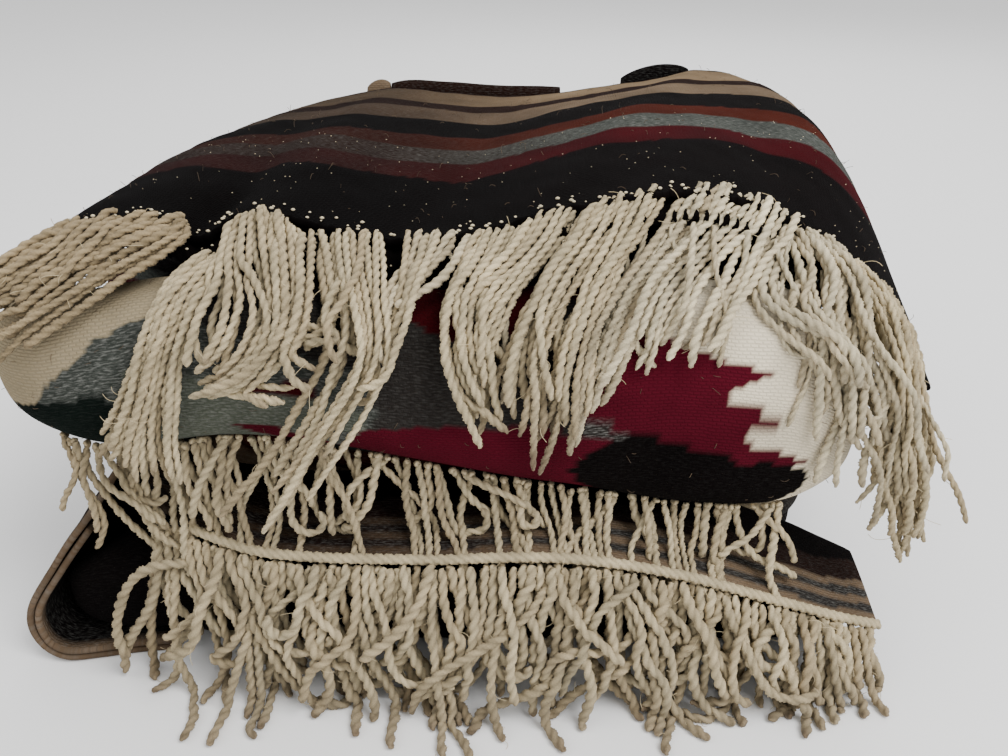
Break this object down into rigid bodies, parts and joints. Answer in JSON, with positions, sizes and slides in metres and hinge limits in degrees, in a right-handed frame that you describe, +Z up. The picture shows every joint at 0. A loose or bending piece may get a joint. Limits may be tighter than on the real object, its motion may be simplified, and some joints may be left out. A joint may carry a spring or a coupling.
{
  "type": "folded mexican serape",
  "caption": "Woven wool blanket shawl folded into a loose stack, with striped ends, a stepped wedge pattern and twisted warp fringe.",
  "frame": {"origin": "under the middle of the stack's bounding box, on the surface it rests on", "axes": "+Z up, +X to the right along the folded edges, +Y from the fringed front to the back"},
  "size_m": [0.4782, 0.5002, 0.2505],
  "materials": {
    "striped_wool": "weft-faced handwoven wool in bands of black, maroon, grey, rust and taupe",
    "black_wool": "weft-faced handwoven black wool with pale warp specks",
    "patterned_wool": "tapestry-woven wool with stepped wedges in burgundy, black, grey and cream",
    "cream_wool": "undyed cream wool cloth",
    "fringe_yarn": "undyed twisted warp yarn, soft and a little soiled"
  },
  "bodies": {
    "root": {"top_ply": "striped_wool", "second_ply": "black_wool", "pattern_fold": "patterned_wool", "lower_end_ply": "striped_wool", "lower_under_ply": "striped_wool", "heading_cord": "fringe_yarn", "bottom_fold": "black_wool", "loop_outer": "striped_wool", "loop_inner": "cream_wool", "folded_core": "striped_wool", "back_fold_left": "black_wool", "back_fold_end": "cream_wool", "back_fold_right": "black_wool", "fringe_top_1": "fringe_yarn", "fringe_top_2": "fringe_yarn", "fringe_top_3": "fringe_yarn", "fringe_top_4": "fringe_yarn", "fringe_top_5": "fringe_yarn", "fringe_middle_1": "fringe_yarn", "fringe_middle_2": "fringe_yarn", "fringe_lower_1": "fringe_yarn", "fringe_lower_2": "fringe_yarn", "fringe_lower_3": "fringe_yarn", "fringe_lower_4": "fringe_yarn"}
  },
  "joints": []
}
